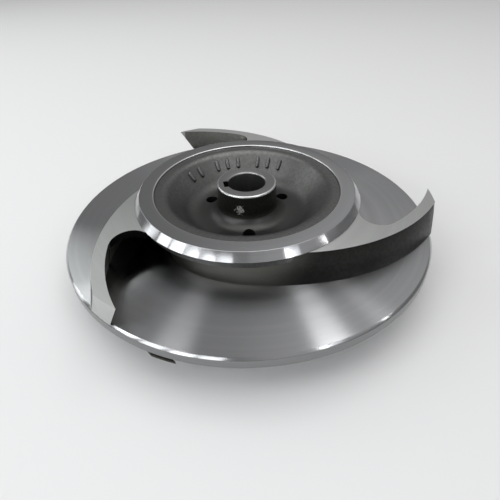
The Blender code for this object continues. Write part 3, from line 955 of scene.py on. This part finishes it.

# %% Make the cast finishes
# The bowl's darker colour near the hub is painted shade in the hollow round the hub's foot.
bowl_steel = cast_finish("cast_bowl_steel", (0.135, 0.135, 0.132), (0.165, 0.165, 0.162),
                         0.36, 1200.0, 0.00004, fade=((0.070, 0.070, 0.068), 0.050, 0.078))
hub_side_steel = cast_finish("cast_hub_steel", (0.026, 0.026, 0.022), (0.038, 0.038, 0.032),
                             0.42, 900.0, 0.00006, smudge=(-0.0085, -0.0312, 0.0805))
# The walls' paler colour close under the ring is painted light, where light reaches them there.
wall_steel = cast_finish("cast_wall_steel", (0.027, 0.0265, 0.0255), (0.034, 0.0335, 0.032),
                         0.40, 900.0, 0.00004, fade=((0.15, 0.15, 0.135), 0.110, 0.128))
inner_steel = cast_finish("cast_inner_steel", (0.17, 0.17, 0.152), (0.20, 0.20, 0.18),
                          0.42, 900.0, 0.00004)
# Painted shade: a near-black skin for the arms' pockets, the part under the ring and downward faces.
painted_shade_steel = cast_finish("painted_shade_black_steel", (0.004, 0.004, 0.004), (0.008, 0.008, 0.008),
                          0.6, 700.0, 0.0001)
print("cast finishes:", bowl_steel.name, hub_side_steel.name, wall_steel.name, inner_steel.name,
      painted_shade_steel.name)

# %% [markdown]
# ## Putting the finishes on
# The lathe cut some faces of a piece and left others as cast, so one piece carries several
# materials. They could be painted on by hand, face by face. A rule that looks at each face's
# place and direction follows the real cut more exactly, and still works if a size changes.


# %% Helper for painting by a rule
def paint(piece, materials, choose=lambda face: 0):
    """Sets a piece's materials, and for each face the number of the one it takes."""
    piece.data.materials.clear()
    for material in materials:
        piece.data.materials.append(material)
    for face in piece.data.polygons:
        face.material_index = choose(face)


def axis_distance(face):
    return math.hypot(face.center.x, face.center.y)


print("painting helper ready")

# %% Finish the disc, the neck and the rings
DISC_FACE, RIM_BAND, RIM_CORNER = range(3)
STANDS_UPRIGHT = 0.3
NECK_CUT_DEPTH = 0.02
NECK_CUT_RADIUS = 0.095
RING_EDGE_TILT = 0.05


def disc_finish(face):
    if axis_distance(face) < OUTER_RADIUS - RIM_CHAMFER:
        return DISC_FACE
    return RIM_BAND if abs(face.normal.z) < STANDS_UPRIGHT else RIM_CORNER


def neck_finish(face):
    """The disc's cut runs on a little way down the bend."""
    return int(face.center.z > FACE_Z - NECK_CUT_DEPTH and face.normal.z > 0.0
               and axis_distance(face) > NECK_CUT_RADIUS)


def ring_finish(face):
    """The rounded inner edge takes a painted highlight, a bright line."""
    return int(axis_distance(face) < RING_BORE_RADIUS + RING_INNER_EDGE
               and face.normal.z > RING_EDGE_TILT)


paint(turned_disc, [disc_steel, rim_steel, ring_steel], disc_finish)
paint(suction_neck_casting, [wall_steel, disc_steel], neck_finish)
paint(back_ring, [ring_steel, edge_highlight_steel], ring_finish)
paint(front_ring, [ring_steel])
print("faces cut on the neck:", sum(face.material_index for face in
                                    suction_neck_casting.data.polygons))

# %% Finish the bowl, the hub and the raised bars
BOWL, HUB_END, HUB_CORNER_HIGHLIGHT, BORE, HUB_SIDE = range(5)


def hub_finish(face):
    # The hub's top corner takes the painted edge highlight.
    if face.center.z > HUB_TOP_Z - HUB_EDGE and axis_distance(face) > HUB_RADIUS - HUB_EDGE:
        return HUB_CORNER_HIGHLIGHT
    if axis_distance(face) < BORE_RADIUS + HUB_CHAMFER:
        return BORE
    if axis_distance(face) < HUB_RADIUS + HUB_FILLET / 10 and abs(face.normal.z) < 0.5:
        return HUB_SIDE
    return HUB_END if face.center.z > HUB_TOP_Z - FINE_EDGE else BOWL


paint(bowl_and_hub, [bowl_steel, hub_end_steel, edge_highlight_steel, bore_steel, hub_side_steel],
      hub_finish)
paint(raised_marks, [bowl_steel])
print("materials on the bowl and hub:", len(bowl_and_hub.data.materials))

# %% [markdown]
# ### Finishing the arms
# An arm shows five surfaces. Its top and its end at the rim are cut, its outer side is dark
# cast skin and its inner side a paler one. Its broken edges carry a painted highlight. The
# pocket, whatever lies under the ring and the faces that look down are painted near-black as
# shade, since little light reaches them. How far round the pocket the painted shade goes is
# given for each arm, because one of them catches the light.

# %% Finish the arms and the ribs
OUTER_SIDE, CUT, INNER_SIDE, PAINTED_SHADE, EDGE_HIGHLIGHT = range(5)
BROKEN_EDGE_AREA = 2.5 * ARM_EDGE ** 2
LEAST_TILT, MOST_TILT = 0.2, 0.98
SHADE_REACH = 1.3 * POCKET_RADIUS
SHADE_BEARINGS = [math.radians(degrees) for degrees in (265.0, 265.0, 300.0)]


def arm_finish(arm_turn, shade_bearing):
    """The rule for the arm that stands at a given angle."""
    turn = Matrix.Rotation(arm_turn, 2)
    arc_middle = turn @ Vector(outer_arc_centre)
    pocket_middle = turn @ Vector(pocket_centre)

    def choose(face):
        flat = face.center.xy
        # Small tilted faces of the broken edges take the painted edge highlight.
        if face.area < BROKEN_EDGE_AREA and LEAST_TILT < face.normal.z < MOST_TILT:
            return EDGE_HIGHLIGHT
        on_top = face.normal.z > 0.5 and face.center.z > ARM_TIP_Z - 2 * ARM_EDGE
        if on_top or flat.length > OUTER_RADIUS - 2 * ARM_EDGE:
            return CUT
        away = flat - pocket_middle
        bearing = (math.atan2(away.y, away.x) - arm_turn) % (2 * math.pi)
        # The pocket, the part under the ring and the faces that look down take the painted shade.
        in_pocket = away.length < SHADE_REACH and bearing < shade_bearing
        under_ring = flat.length < PLATE_RADIUS and face.center.z > WEB_UNDER_Z - ARM_EDGE
        if in_pocket or under_ring or face.normal.z < -0.5:
            return PAINTED_SHADE
        return OUTER_SIDE if (flat - arc_middle).dot(face.normal.xy) > 0 else INNER_SIDE
    return choose


for arm, arm_turn, shade_bearing in zip(arms, ARM_TURNS, SHADE_BEARINGS):
    paint(arm, [wall_steel, arm_steel, inner_steel, painted_shade_steel, edge_highlight_steel],
          arm_finish(arm_turn, shade_bearing))
for rib in ribs:
    paint(rib, [hub_side_steel])
print("arms and ribs finished:", len(arms) + len(ribs))

# %% [markdown]
# ## Sharing out the ceiling lights
# The strips that draw the spokes are very bright. On matt cast skin or on the floor they would
# cast hard pools of light, and the broad softbox would wash the turned disc out. A light can be
# told which pieces it reaches, by way of a collection of receivers. So the strips light only the
# disc and the neck that bends down from it, and the softbox lights everything else.

# %% Link the lights to the pieces that they reach
strip_receivers = bpy.data.collections.new("strip_receivers")
softbox_receivers = bpy.data.collections.new("softbox_receivers")
for piece in (turned_disc, suction_neck_casting):
    strip_receivers.objects.link(piece)
for piece in (back_ring, front_ring, bowl_and_hub, raised_marks, studio_floor, *arms, *ribs):
    softbox_receivers.objects.link(piece)
for strip in ceiling_strips:
    strip.light_linking.receiver_collection = strip_receivers
softbox.light_linking.receiver_collection = softbox_receivers

# %% [markdown]
# ## One body
# An impeller is rigid, so there is one body, and each piece rides on it. The solids that each
# piece stands for are hidden. The raised bars stand for no solid.

# %% Tie the pieces to the frame
STANDS_FOR = {
    turned_disc: ("turned_steel", ["front_shroud"]),
    suction_neck_casting: ("cast_steel", ["suction_neck"]),
    back_ring: ("ring_steel", ["back_wear_ring"]),
    front_ring: ("ring_steel", ["front_wear_ring"]),
    bowl_and_hub: ("cast_steel", ["back_shroud", "hub"]),
}
for i in range(ARM_COUNT):
    STANDS_FOR[arms[i]] = ("cast_steel", [f"vane_{i + 1}"])
    STANDS_FOR[ribs[i]] = ("cast_steel", [f"rib_{i + 1}"])
for piece, (slot_name, nodes) in STANDS_FOR.items():
    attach(piece, "root")
    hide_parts(*nodes)
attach(raised_marks, "root")
print("pieces tied:", len(STANDS_FOR) + 1)
